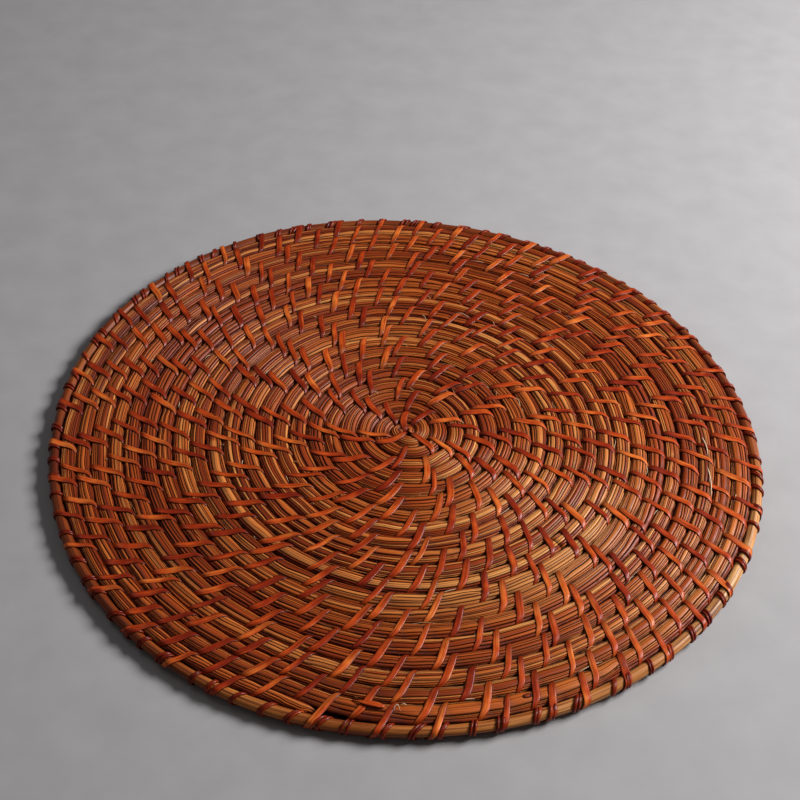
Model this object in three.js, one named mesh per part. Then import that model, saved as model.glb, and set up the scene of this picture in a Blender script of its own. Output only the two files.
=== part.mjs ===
// A round table mat of coiled rattan.
// One long bundle of split reed is wound in a flat spiral, turn beside turn. A stouter reed runs
// round the edge, and a thin strip of cane peel is wound round that reed and holds it to the coil.
// Millimetres, +Z up. The mat lies on z = 0, with the middle of its box over the origin.

import * as THREE from "three";

// Driving dimensions of the whole mat
const MAT_RADIUS = 175.4;
const PIECE_GAP = 0.3;

// The bundle, with the sewing that binds its turns counted in its height
const BUNDLE_HEIGHT = 7.4;
const ROW_PITCH = 8.3;
const CENTRE_HOLE = 0.4;
const FLAT_SHARE = 0.5;
const TIP_HEIGHT_SHARE = 0.5;

// The outer end of the bundle, which is thinned before it runs out beside the edge reed.
// Lengths are in turns.
const END_AZIMUTH = -90;
const END_TAPER = 0.06;
const SLIM_SHARE = 0.62;
const SLIM_START = 0.12;
const SLIM_END = 0.38;
const STEP_FADE = 0.8;
const START_LENGTH = 0.6;

// How far the rows wander off an even spiral
const WANDER = 0.4;
const WANDERS_PER_TURN = 2.6;

// The edge reed and the strip that is wound round it
const REED_RADIUS = 2.6;
const REED_SIDES = 8;
const REED_STEPS = 96;
const STRIP_WIDTH = 2.4;
const STRIP_THICKNESS = 0.45;
const STRIP_EASE = 0.15;
const STRIP_WRAPS = 76;
const STEPS_PER_WRAP = 8;
const STRIP_FLOOR_GAP = 0.3;

// The spiral's steps in each turn, many on the wide turns and half as many on the small ones
const OUTER_STEPS = 48;
const INNER_STEPS = 24;
const INNER_TURNS = 6;

// The lobes that make the outline uneven: how many, how high, and where the first one peaks
const OUTLINE_LOBES = [
  { count: 2, height: 0.45, peak: -38 },
  { count: 3, height: 1.1, peak: 9 },
  { count: 4, height: 0.35, peak: -37 },
];

const COLOURS = { bundle: 0xa8612c, reed: 0xb98548, strip: 0x8a3d1c };
const CANE_ROUGHNESS = 0.5;

const TURN = 2 * Math.PI;
const { degToRad, lerp, smoothstep } = THREE.MathUtils;

// Sizes that follow. The strip goes round the reed in straight steps, so its corners stand further
// out than its middles, and its flat width needs a little ease to clear the round reed.
const STRIP_CLEARANCE = REED_RADIUS + PIECE_GAP + STRIP_EASE;
const STRIP_INNER = STRIP_CLEARANCE / Math.cos(Math.PI / STEPS_PER_WRAP);
const STRIP_OUTER = STRIP_INNER + STRIP_THICKNESS;
const REED_RING_RADIUS = MAT_RADIUS - STRIP_OUTER;
const REED_HEIGHT = STRIP_FLOOR_GAP + STRIP_OUTER;
const COIL_RADIUS = REED_RING_RADIUS - STRIP_OUTER - PIECE_GAP / 2;
const COIL_TURNS = COIL_RADIUS / ROW_PITCH + START_LENGTH;

// How far the outline stands out of a true circle at an azimuth.
function unevenness(azimuth) {
  let height = 0;
  for (const lobe of OUTLINE_LOBES) {
    height += lobe.height * Math.cos(lobe.count * (azimuth - degToRad(lobe.peak)));
  }
  return height;
}

// A point of the mat from its radius in an even mat. The lobes fade out towards the centre.
function place(radius, azimuth, z) {
  const share = radius / MAT_RADIUS;
  const r = radius + unevenness(azimuth) * share ** 2;
  return new THREE.Vector3(r * Math.cos(azimuth), r * Math.sin(azimuth), z);
}

// A closed solid through rings of points, which run clockwise as the row of rings goes away.
function skin(rings, closed) {
  const sides = rings[0].length;
  const index = [];
  const spans = closed ? rings.length : rings.length - 1;
  for (let i = 0; i < spans; i++) {
    const here = i * sides;
    const there = ((i + 1) % rings.length) * sides;
    for (let k = 0; k < sides; k++) {
      const next = (k + 1) % sides;
      index.push(here + k, here + next, there + next);
      index.push(here + k, there + next, there + k);
    }
  }
  if (!closed) {
    const last = (rings.length - 1) * sides;
    for (let k = 1; k < sides - 1; k++) {
      index.push(0, k + 1, k);
      index.push(last, last + k, last + k + 1);
    }
  }
  const geometry = new THREE.BufferGeometry().setFromPoints(rings.flat());
  geometry.setIndex(index);
  geometry.computeVertexNormals();
  return geometry;
}

// The share of a row that the spiral has moved in by, over one turn from the outer end. The whole
// step is made where the bundle thins and ends. Further in it is spread over the turn.
function stepIn(part, turn) {
  const sharp =
    SLIM_SHARE * smoothstep(part, 0, END_TAPER) +
    (1 - SLIM_SHARE) * smoothstep(part, SLIM_START, SLIM_END);
  return lerp(part, sharp, STEP_FADE ** turn);
}

// The radius of the line between a turn and the next one in, by turns from the outer end.
function rowLine(turns) {
  const whole = Math.floor(turns);
  const rows = whole + stepIn(turns - whole, whole);
  const settled = smoothstep(turns, 0, 1) * smoothstep(COIL_TURNS - 1 - turns, 0, 1);
  const wander = WANDER * settled * Math.sin(WANDERS_PER_TURN * TURN * turns);
  return COIL_RADIUS - ROW_PITCH * rows + wander;
}

// The six-sided section of the bundle, flat below and on its crest, by turns from the outer end.
function bundleRing(turns) {
  const azimuth = degToRad(END_AZIMUTH) - TURN * turns;
  const outer = (turns < 1 ? COIL_RADIUS : rowLine(turns - 1)) - PIECE_GAP / 2;
  const inner = Math.max(rowLine(turns) + PIECE_GAP / 2, CENTRE_HOLE);
  const middle = (outer + inner) / 2;
  const half = (outer - inner) / 2;
  const fullness = smoothstep(turns, 0, END_TAPER);
  const height = BUNDLE_HEIGHT * lerp(TIP_HEIGHT_SHARE, 1, fullness);
  const flat = half * FLAT_SHARE;
  return [
    place(middle - half, azimuth, height / 2),
    place(middle - flat, azimuth, height),
    place(middle + flat, azimuth, height),
    place(middle + half, azimuth, height / 2),
    place(middle + flat, azimuth, 0),
    place(middle - flat, azimuth, 0),
  ];
}

// The bundle, from its start at the centre to its outer end, one step short of where it would
// have no width left.
function bundleGeometry() {
  const rings = [];
  let turns = 1 / OUTER_STEPS;
  while (turns < COIL_TURNS) {
    rings.push(bundleRing(turns));
    const steps = COIL_TURNS - turns > INNER_TURNS ? OUTER_STEPS : INNER_STEPS;
    turns += 1 / steps;
  }
  return skin(rings.reverse(), false);
}

// The reed round the edge, a closed ring of round section.
function reedGeometry() {
  const rings = [];
  for (let i = 0; i < REED_STEPS; i++) {
    const azimuth = (TURN * i) / REED_STEPS;
    const ring = [];
    for (let k = 0; k < REED_SIDES; k++) {
      const angle = (-TURN * k) / REED_SIDES;
      const radius = REED_RING_RADIUS + REED_RADIUS * Math.cos(angle);
      ring.push(place(radius, azimuth, REED_HEIGHT + REED_RADIUS * Math.sin(angle)));
    }
    rings.push(ring);
  }
  return skin(rings, true);
}

// A point on the strip's way round the reed, some way out from the reed's middle.
function stripPoint(azimuth, distance) {
  const angle = STRIP_WRAPS * azimuth;
  const radius = REED_RING_RADIUS + distance * Math.cos(angle);
  return place(radius, azimuth, REED_HEIGHT + distance * Math.sin(angle));
}

// The strip, wound round the reed from end to end and joined to itself. On top of the reed it
// leans, so that it runs anticlockwise as it goes in.
function stripGeometry() {
  const steps = STRIP_WRAPS * STEPS_PER_WRAP;
  const rings = [];
  for (let i = 0; i < steps; i++) {
    const azimuth = (TURN * i) / steps;
    const step = TURN / steps;
    const inner = stripPoint(azimuth, STRIP_INNER);
    const outer = stripPoint(azimuth, STRIP_OUTER);
    const along = stripPoint(azimuth + step, STRIP_OUTER).sub(stripPoint(azimuth - step, STRIP_OUTER));
    const out = outer.clone().sub(inner);
    const side = along.cross(out).setLength(STRIP_WIDTH / 2);
    rings.push([
      outer.clone().sub(side),
      outer.clone().add(side),
      inner.clone().add(side),
      inner.clone().sub(side),
    ]);
  }
  return skin(rings, true);
}

function piece(name, geometry, colour) {
  const material = new THREE.MeshStandardMaterial({
    color: colour,
    roughness: CANE_ROUGHNESS,
    metalness: 0,
  });
  const mesh = new THREE.Mesh(geometry, material);
  mesh.name = name;
  return mesh;
}

const mat = new THREE.Group();
const laid = new THREE.Group();
laid.add(piece("coil_bundle", bundleGeometry(), COLOURS.bundle));
laid.add(piece("edge_reed", reedGeometry(), COLOURS.reed));
laid.add(piece("edge_strip", stripGeometry(), COLOURS.strip));
mat.add(laid);

// The uneven outline is moved so that its box is centred on the origin.
const middle = new THREE.Box3().setFromObject(laid).getCenter(new THREE.Vector3());
laid.position.set(-middle.x, -middle.y, 0);

export default mat;
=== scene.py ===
"""A round placemat of coiled rattan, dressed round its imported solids.

A bundle of split reed is wound in a flat spiral. Strips of glossy cane peel sew each turn to the
one before it, and a stouter reed runs round the edge, bound on by thin strips. Lengths here are in
millimetres until a mesh is made, and azimuths run anticlockwise from +X, seen from above.
"""

import math

import bpy
import numpy as np
from mathutils import Matrix, Vector


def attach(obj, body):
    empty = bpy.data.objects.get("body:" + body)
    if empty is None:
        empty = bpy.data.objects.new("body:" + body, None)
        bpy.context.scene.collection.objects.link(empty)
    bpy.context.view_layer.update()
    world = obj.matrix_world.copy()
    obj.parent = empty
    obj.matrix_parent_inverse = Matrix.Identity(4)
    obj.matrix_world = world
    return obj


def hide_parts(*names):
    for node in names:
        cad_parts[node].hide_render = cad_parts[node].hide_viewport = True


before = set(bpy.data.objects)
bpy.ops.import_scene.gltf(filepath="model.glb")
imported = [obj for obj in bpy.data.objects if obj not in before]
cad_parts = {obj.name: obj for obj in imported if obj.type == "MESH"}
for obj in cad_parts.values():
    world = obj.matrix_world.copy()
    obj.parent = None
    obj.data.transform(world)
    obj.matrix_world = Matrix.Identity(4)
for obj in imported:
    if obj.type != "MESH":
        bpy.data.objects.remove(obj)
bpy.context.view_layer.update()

MM = 0.001
TURN = 2 * math.pi
SEED = 11
TINY = 1e-6

# The mat's own sizes, as its solids have them
MAT_RADIUS = 175.4
ROW_PITCH = 8.3
CENTRE_HOLE = 0.4
COIL_RADIUS = 167.75
START_LENGTH = 0.6
COIL_TURNS = COIL_RADIUS / ROW_PITCH + START_LENGTH

# Lobes of the uneven outline: count, height and azimuth of the first peak in degrees
OUTLINE_LOBES = ((2, 0.45, -38), (3, 1.1, 9), (4, 0.35, -37))
OUTLINE_SAMPLES = 1441

# The outer end of the bundle, which tapers, drops a little and ends in a slim tip. Lengths are in
# turns, and shares are of the full size.
END_AZIMUTH = math.radians(-90)
END_TAPER = 0.06
TAPER_LEAD = 0.3
TAPER_SHARE = 0.35
TAPER_DROP = 0.8
TIP_TURN = 1 / 48
TIP_LENGTH = 0.013
TIP_SHARE = 0.12
TIP_DROP = 0.5

# How the next rows step in towards that end, part of it sharply and the rest slowly. The step
# fades from row to row. Lengths are in turns.
SLIM_SHARE = 0.62
SLIM_TURNS = (0.12, 0.38)
STEP_FADE = 0.8

# How far the rows wander off an even spiral
WANDER = 0.4
WANDERS_PER_TURN = 2.6

# The bundle's section: the middle of its height, half its height under the strands, the least half
# width, and the power that squares it
BUNDLE_MIDDLE = 3.75
BUNDLE_HALF = 3.05
LEAST_HALF_WIDTH = 0.4
SECTION_POWER = 0.8

# The outermost turn spreads towards the edge reed. The spread fades just after a whole turn.
EDGE_SPREAD = 1.2
SPREAD_FADE = 0.045

# Steps along the bundle. Where it curls tightly they are a share of its radius and a bit more.
LENGTH_SAMPLES = 60001
TIGHT_SHARE = 0.22
TIGHT_STEP = 0.3

# The core under the strands, its colour all painted shade, with the girth that its grain is laid over
CORE_STEP = 7.0
CORE_DEGREES = 36
CORE_INSET = 0.25
CORE_DEPTH = 0.35
CORE_GIRTH = 20

# Split strands on the bundle, by name: how many lanes, the arc they cover in degrees from the
# bundle's outer side, how long their steps are, and how many pieces they make
STRANDS = {"strands_top": (13, (-28, 208), 3.3, 3), "strands_under": (5, (210, 330), 9.0, 1)}

# A strand's section, as shares of its half width and crown, its edges, where painted shade darkens
# the gaps between strands, and how it is laid
STRAND_PROFILE = np.array([(-1, -0.6), (-0.66, 0.75), (0, 1), (0.66, 0.75), (1, -0.6)])
STRAND_EDGE = np.array([1, 0, 0, 0, 1])
STRAND_GAP = 0.4
STRAND_CROWN = 0.3
CROWN_PER_DEGREE = 0.028
STRAND_INSET = 0.15

# How strands differ in length, width and lift, and how far their ends dip
STRAND_LENGTHS = (160, 520)
STRAND_SPREAD = 1.0
WIDTH_WAVE = 260
WAVE_SIZE = 0.6
LIFT_STEP = 0.2
LIFT_SIZE = 0.13
LIFT_WAVE = 60
END_DIP = 0.3
DIP_LENGTH = 4.5

# A slim strand, by its share of the usual width, thins out near its end. Where the bundle thins
# out, lanes fade one by one.
SLIM_RANGE = (0.7, 1.2)
THIN_SHARE = 0.88
THIN_LENGTH = 8
LANE_FADE = (-0.4, 0.6)

# The broad flat reed of the outermost turn, with the turns over which it comes and goes
FLAT_REED_START = (0.89, 0.93)
FLAT_REED_END = (0.985, 1.0)
FLAT_REED_SHARE = 5
FLAT_REED_TONE = 0.66

# Where stitches pinch the bundle: how deep, how far along it, how much they lean there, how far it
# rises between them as a share, and where its upper side starts, as a sine
PINCH_DEPTH = 0.3
PINCH_REACH = 2.8
PINCH_LEAN = 0.55
PINCH_REST = 0.35
PINCH_SIDE = -0.2

# Shade between bundles, fading over heights off the middle, and under stitches
SHADE_HEIGHTS = (0.3, 2.4)
PINCH_SHADE = 0.35

# Sewing strips. They lean by their reach, which changes round the mat and is less near the centre.
STITCH_PITCH = 23.8
STITCH_WIDTH = 3.4
STITCH_WIDTHS = (0.74, 1.1)
STITCH_THICKNESS = 0.52
STITCH_LIFT = 0.08
STITCH_GIRTH = 7
STITCH_REACH = 8.6
REACH_CHANGE = 1.8
REACH_AZIMUTH = math.radians(215)
REACH_SPREAD = 0.8
LEAST_REACH = 0.35
FULL_REACH_RADIUS = 45
LEAST_RADIUS = 5

# A stitch's section, as shares of its half width and thickness, and where painted shade darkens its
# sides and underside
STITCH_PROFILE = np.array(
    [(-1, 0), (-0.98, 0.66), (-0.66, 0.93), (0, 1), (0.66, 0.93), (0.98, 0.66), (1, 0), (0, -0.15)]
)
STITCH_EDGE = np.array([1, 0.8, 0, 0, 0, 0.8, 1, 1])

# The returns of the stitches below the mat
UNDER_PROFILE = np.array([(-1, 0), (-0.7, 0.8), (0, 1), (0.7, 0.8), (1, 0)])
UNDER_WIDTH = 0.85
UNDER_THICKNESS = 0.36
UNDER_LIFT = 0.02
UNDER_GIRTH = 6

# Where stitches go: the turns left unsewn, how the pitch varies, how far along its reach a stitch
# meets the next row, and how it keeps to the middle between that row's stitches
UNSEWN_TURNS = 1.3
REED_STITCH_TURNS = 0.05
LEAST_SEWN_RADIUS = 9
PITCH_RANGE = (0.9, 1.1)
LEAST_PITCH = 0.55
MEETING_SHARE = 0.46
NEAR_PITCHES = 1.1
SPACE_PULL = 0.6
SPACE_LIMIT = 1.12
STITCH_CLEARANCE = 5.5
CLEARANCE_SHARE = 0.45
OUTER_CROSSING = 0.36
INNER_CROSSING = 0.82

# A stitch's way over two members, in steps over each, and in degrees from a member's outer side:
# where it starts, leaves, meets the next member and ends. The changes are for each mm of climb.
TOP_BAND_STEPS = 10
UNDER_BAND_STEPS = 6
START_ANGLE = -26
REED_START_ANGLE = -82
UNDER_REED_ANGLE = 35
LEAVE_ANGLE = 84
LEAVE_CHANGE = 50
MEET_ANGLE = 96
MEET_CHANGE = 56
END_ANGLE = 203
BRIDGE_SHARES = (0.25, 0.5, 0.75)
BRIDGE_DIP = 0.35

# A stitch's line seen from above: its bow, and the hooks at its ends
BOW = 1.1
BOW_CHANGE = 0.15
BOW_SPREAD = 0.12
OUTER_HOOK = 2.8
INNER_HOOK = 2.2
HOOK_FROM = 0.66
HOOK_MEAN = 0.55
HOOK_CHANGE = 0.45
REED_HOOK = 0.4

# How a stitch narrows at its ends, as shares of its width and way
START_POINT = 0.3
REED_POINT = 0.8
START_NARROWING = 0.34
END_POINT = 0.4
END_NARROWING = 0.36

# Loose ends: half thickness, tone, and azimuth, radius and height of the points of each fibre
SEEN_FIBRES = (
    (0.15, 1.0, ((-88.9, 164, 6.4), (-88.9, 162.9, 8.2), (-88.4, 162.1, 8.9), (-87.9, 164.6, 6.4))),
    (0.24, 0.9, ((-87.9, 160.2, 6.8), (-87.5, 160.6, 7.4), (-87.1, 161.1, 7.2))),
    (0.30, 0.9, ((-4.0, 147.7, 7.0), (-8, 149.4, 7.7), (-11.6, 150.4, 6.4))),
    (0.24, 0.8, ((-9.2, 161.8, 6.4), (-10.4, 161.7, 6.9), (-11.6, 161.3, 6.2))),
    (0.28, 0.9, ((4.2, 146.9, 6.9), (1.0, 148.1, 7.7), (-1.3, 148.6, 6.6))),
    (0.22, 0.8, ((-18.6, 161.7, 5.6), (-16.6, 161.4, 6.3), (-14.4, 161.6, 5.6))),
    (0.22, 0.8, ((-59.8, 159.7, 5.8), (-57.4, 159.4, 6.5), (-55.2, 159.8, 5.8))),
    (0.15, 0.1, ((-54.7, 167, 5.6), (-54.2, 166.2, 8.0), (-53.4, 167.0, 8.3), (-52.8, 166, 7.2))),
    (0.14, 0.1, ((-54.2, 166.8, 5.6), (-53.9, 165.6, 7.6), (-53.0, 165.3, 8.2))),
)

# Fibres in the crevices, lying and curled: how many, their lengths, and the heights of their points
LYING_FIBRES = (46, (5, 15), (4.5, 5.9, 6.2, 5.7))
CURLED_FIBRES = (44, (2, 5), (4.2, 6.0, 7.0, 7.6))
FIBRE_SHARES = (0, 0.35, 0.7, 1)
FIBRE_ASIDE = 0.7
FIBRE_HALVES = (0.1, 0.19)
FIBRE_TONES = (0.3, 1)
FIBRE_TURNS = (0.1, COIL_TURNS - 4)

# How every fibre is made: its steps and sides, the length of its grain in metres, its share of the
# thickness at the ends, and the shares of its length over which it thins
FIBRE_STEPS = 12
FIBRE_SIDES = 5
FIBRE_GRAIN = 0.01
FIBRE_POINT = 0.3
FIBRE_NARROWING = (0.2, 0.4)
ALMOST_UP = (0.1, 0.2, 1)

# The end of one strip, left lying along the outermost turn. It narrows to a point at one end.
TAIL_POINTS = ((-95.2, 160.6, 6.6), (-93.7, 161.5, 7.7), (-92.0, 162.0, 7.9), (-90.3, 162.7, 7.6))
TAIL_STEPS = 14
TAIL_LENGTH = 11
TAIL_WIDTH = 2.5
TAIL_LIFT = 0.05
TAIL_POINT = 0.08
TAIL_POINT_LENGTH = 0.6
TAIL_CUT_LENGTH = 0.14

# The knot in the broad flat reed, with the shares of its size between which it darkens
KNOT_AZIMUTH = math.radians(-69)
KNOT_RADIUS = 163.2
KNOT_HEIGHT = 6.75
KNOT_LENGTH = 5.0
KNOT_WIDTH = 2.6
KNOT_RISE = 0.7
KNOT_RIM = (0.35, 0.7)
KNOT_STEPS = 11
KNOT_SIDES = 10
KNOT_END = 0.97
KNOT_GIRTH = 4
KNOT_GRAIN = 2

# The edge reed, whose ring is 0.3 wider than the solid's, since its strips are thinner. Its swells
# and flats are waves: their count round its section and round the mat, their size and their phase.
REED_RING_RADIUS = 171.95
REED_HEIGHT = 4.05
REED_RADIUS = 2.6
REED_FLATNESS = 0.15
REED_WAVES = ((0, 7, 0.1, 1), (0, 19, 0.07, 0), (2, 9, 0.12, 0), (5, 0, 0.08, 0))
REED_STEPS = 540
REED_SIDES = 18
REED_GIRTH = 18

# Strips wound round the edge reed, in pairs. A loop leans and is a little less high than wide.
WRAP_PROFILE = np.array([(-1, 0), (-0.8, 0.75), (0, 1), (0.8, 0.75), (1, 0), (0, -0.1)])
WRAP_COUNT = 88
WRAP_STEPS = 22
WRAP_WIDTH = 1.45
WRAP_WIDTHS = (0.7, 1.3)
WRAP_THICKNESS = 0.7
WRAP_CLEARANCE = 0.16
WRAP_FLATNESS = 0.1
WRAP_SHIFT = 0.3
WRAP_PAIR_GAPS = (0.5, 2.3)
WRAP_LEANS = (0.8, 2.6)
WRAP_LEAN_SPREAD = 0.3
WRAP_TONE_SPREAD = 0.3
WRAP_GIRTH = 3

# Painted light: where the mat is painted palest, on the side that the window lights, how far that
# reaches, and how much paler strands and stitches are there
PAINTED_LIGHT_AZIMUTH = math.radians(-42)
PAINTED_LIGHT_REACH = math.radians(40)
PAINTED_LIGHT_ON_STRANDS = 0.26
PAINTED_LIGHT_ON_STITCHES = 0.1

# How far the grain of one strand or strip is moved from the next one's, in metres
LANE_SHIFT = 0.7
STRIP_SHIFT = 0.05

# The camera, found from the mat's outline in the photograph
CAMERA_DISTANCE = 721.54
CAMERA_ELEVATION = math.radians(45.333)
CAMERA_TARGET = (-4.17, 28.46, 0.0)
CAMERA_ROLL = math.radians(3.69)
FOCAL_PIXELS = 1450
PHOTO_WIDTH = 800
SENSOR = 36.0

# Lights, by azimuth, elevation, distance, size and power, and the light all round, in metres
LIGHTS = {"window": (16, 38, 1.15, (0.55, 0.4), 21), "fill": (150, 55, 1.7, (0.8, 0.6), 1.6)}
AROUND_COLOUR = (1, 0.98, 0.97, 1)
AROUND_STRENGTH = 0.09
FLOOR_REACH = 3.0

# Colours from dark to pale as linear red, green and blue, each with its place on the ramp
STRAND_COLOURS = (
    (0.20, (0.120, 0.012, 0.0013)),
    (0.38, (0.31, 0.041, 0.0045)),
    (0.53, (0.56, 0.122, 0.016)),
    (0.74, (0.92, 0.400, 0.105)),
)
PEEL_COLOURS = (
    (0.14, (0.12, 0.006, 0.001)),
    (0.36, (0.28, 0.020, 0.002)),
    (0.56, (0.50, 0.061, 0.0055)),
    (0.80, (0.80, 0.200, 0.030)),
)
REED_COLOURS = (
    (0.15, (0.10, 0.010, 0.001)),
    (0.36, (0.25, 0.047, 0.006)),
    (0.60, (0.48, 0.165, 0.035)),
    (0.85, (0.76, 0.390, 0.140)),
)
FIBRE_COLOURS = ((0.15, (0.07, 0.010, 0.002)), (0.6, (0.48, 0.20, 0.06)), (1.0, (0.80, 0.66, 0.45)))

# Colours of streaks and stains, of painted shade between strands, in crevices, at strips' ends and
# along their sides, of the knot's dark rim and the wraps' darker tone, and of the floor
STRAND_STREAK = (0.10, 0.011, 0.001)
STRAND_STAIN = (0.06, 0.005, 0.0006)
STRAND_LINE_SHADE = (0.022, 0.002, 0.0003)
CREVICE_SHADE_AND_KNOT_RIM = (0.014, 0.001, 0.0002)
PEEL_STREAK = (0.12, 0.008, 0.001)
PEEL_END_SHADE = (0.085, 0.006, 0.001)
PEEL_START_SHADE = (0.07, 0.005, 0.001)
PEEL_EDGE_SHADE_AND_WRAP_TONE = (0.035, 0.003, 0.0005)
REED_STREAK = (0.13, 0.022, 0.003)
REED_STAIN = (0.09, 0.012, 0.002)
FLOOR_DARK = (0.345, 0.332, 0.337)
FLOOR_PALE = (0.375, 0.362, 0.367)
COAT_ROUGHNESS = 0.14


def smooth(x, low, high):
    t = np.clip((np.asarray(x, float) - low) / (high - low), 0, 1)
    return t * t * (3 - 2 * t)


def fade_in(low, share):
    """From low to 1, as share goes from 0 to 1."""
    return low + (1 - low) * share


def unit(vectors):
    return vectors / np.linalg.norm(vectors, axis=-1, keepdims=True)


def around(sides, girth):
    """Lengths in metres round a section, one more than its sides."""
    return np.linspace(0, 1, sides + 1) * girth * MM


def unevenness(azimuth):
    """How far the outline stands out of a true circle."""
    return sum(h * np.cos(n * (azimuth - math.radians(peak))) for n, h, peak in OUTLINE_LOBES)


def outline_middle():
    """The middle of the uneven outline's box, which the solids have over the origin."""
    azimuth = np.linspace(0, TURN, OUTLINE_SAMPLES)
    radius = MAT_RADIUS + unevenness(azimuth)
    x, y = radius * np.cos(azimuth), radius * np.sin(azimuth)
    return (x.max() + x.min()) / 2, (y.max() + y.min()) / 2


MIDDLE_X, MIDDLE_Y = outline_middle()


def place(radius, azimuth, z):
    """A point of the mat, from its radius in an even mat."""
    r = radius + unevenness(azimuth) * (radius / MAT_RADIUS) ** 2
    x = r * np.cos(azimuth) - MIDDLE_X
    y = r * np.sin(azimuth) - MIDDLE_Y
    return np.stack(np.broadcast_arrays(x, y, z), -1)


def painted_light(azimuth):
    """Painted light: 1 where the mat is painted palest, on the side that the window lights, and 0 far
    from there.
    """
    off = np.angle(np.exp(1j * (azimuth - PAINTED_LIGHT_AZIMUTH)))
    return np.exp(-((off / PAINTED_LIGHT_REACH) ** 2))


def row_line(turns):
    """The radius of the line between a turn and the next one in, by turns from the outer end."""
    turns = np.maximum(turns, 0)
    whole = np.floor(turns)
    part = turns - whole
    sharp = SLIM_SHARE * smooth(part, 0, END_TAPER)
    sharp = sharp + (1 - SLIM_SHARE) * smooth(part, *SLIM_TURNS)
    sharpness = STEP_FADE**whole
    rows = whole + part * (1 - sharpness) + sharp * sharpness
    settled = smooth(turns, 0, 1) * smooth(COIL_TURNS - 1 - turns, 0, 1)
    wander = WANDER * settled * np.sin(WANDERS_PER_TURN * TURN * turns)
    return COIL_RADIUS - ROW_PITCH * rows + wander


def azimuth_at(turns):
    return END_AZIMUTH - TURN * turns


def member_at(turns):
    """What lies at a turn, as middle radius, half width, middle height and half height. Before
    turn 0 that is the edge reed, and from there on it is the bundle."""
    turns = np.asarray(turns, float)
    spread = EDGE_SPREAD * (1 - smooth(turns, 1, 1 + SPREAD_FADE))
    outer = np.where(turns < 1, COIL_RADIUS, row_line(turns - 1)) + spread
    inner = np.maximum(row_line(turns), CENTRE_HOLE)
    reed = turns < 0
    fullness = np.where(reed, 1, smooth(turns, -TAPER_LEAD * END_TAPER, END_TAPER))
    tip = fade_in(TIP_SHARE, smooth(turns, TIP_TURN, TIP_TURN + TIP_LENGTH))
    tip = np.where(reed, 1, tip)
    radius = np.where(reed, REED_RING_RADIUS, (outer + inner) / 2)
    half = np.where(reed, REED_RADIUS, np.maximum((outer - inner) / 2, LEAST_HALF_WIDTH)) * tip
    middle = BUNDLE_MIDDLE - TAPER_DROP * (1 - fullness) - TIP_DROP * (1 - tip)
    height = np.where(reed, REED_HEIGHT, middle)
    bundle_rise = BUNDLE_HALF * tip * fade_in(TAPER_SHARE, fullness)
    rise = np.where(reed, REED_RADIUS - WRAP_FLATNESS, bundle_rise)
    return radius, half, height, rise


def length_table():
    """Turns and the bundle's length from its outer end, finely stepped."""
    turns = np.linspace(TIP_TURN, COIL_TURNS, LENGTH_SAMPLES)
    radius = member_at(turns)[0]
    along = np.hypot(np.diff(radius), TURN * np.diff(turns) * (radius[1:] + radius[:-1]) / 2)
    return turns, np.concatenate([[0], np.cumsum(along)])


TURN_TABLE, LENGTH_TABLE = length_table()


def length_at(turns):
    return np.interp(turns, TURN_TABLE, LENGTH_TABLE)


def waves(rng, length, reach):
    """A smooth random line along a length, about -1 to 1, whose waves are about reach long."""
    spare = 4
    knots = rng.normal(0, WAVE_SIZE, int(LENGTH_TABLE[-1] / reach) + spare)
    at = length / reach
    low = np.floor(at).astype(int)
    return knots[low] + (knots[low + 1] - knots[low]) * smooth(at - low, 0, 1)


def section_point(angle, half, rise, out=0.0):
    """Across and up from a member's middle, at an angle from its outer side, and a bit further
    out along the normal. Also returns the normal's two parts."""
    c, s = np.cos(angle), np.sin(angle)
    x = half * np.sign(c) * np.abs(c) ** SECTION_POWER
    z = rise * np.sign(s) * np.abs(s) ** SECTION_POWER
    nx, nz = c / np.maximum(half, TINY), s / np.maximum(rise, TINY)
    size = np.hypot(nx, nz)
    return x + out * nx / size, z + out * nz / size, nx / size, nz / size


# Meshes


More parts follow.
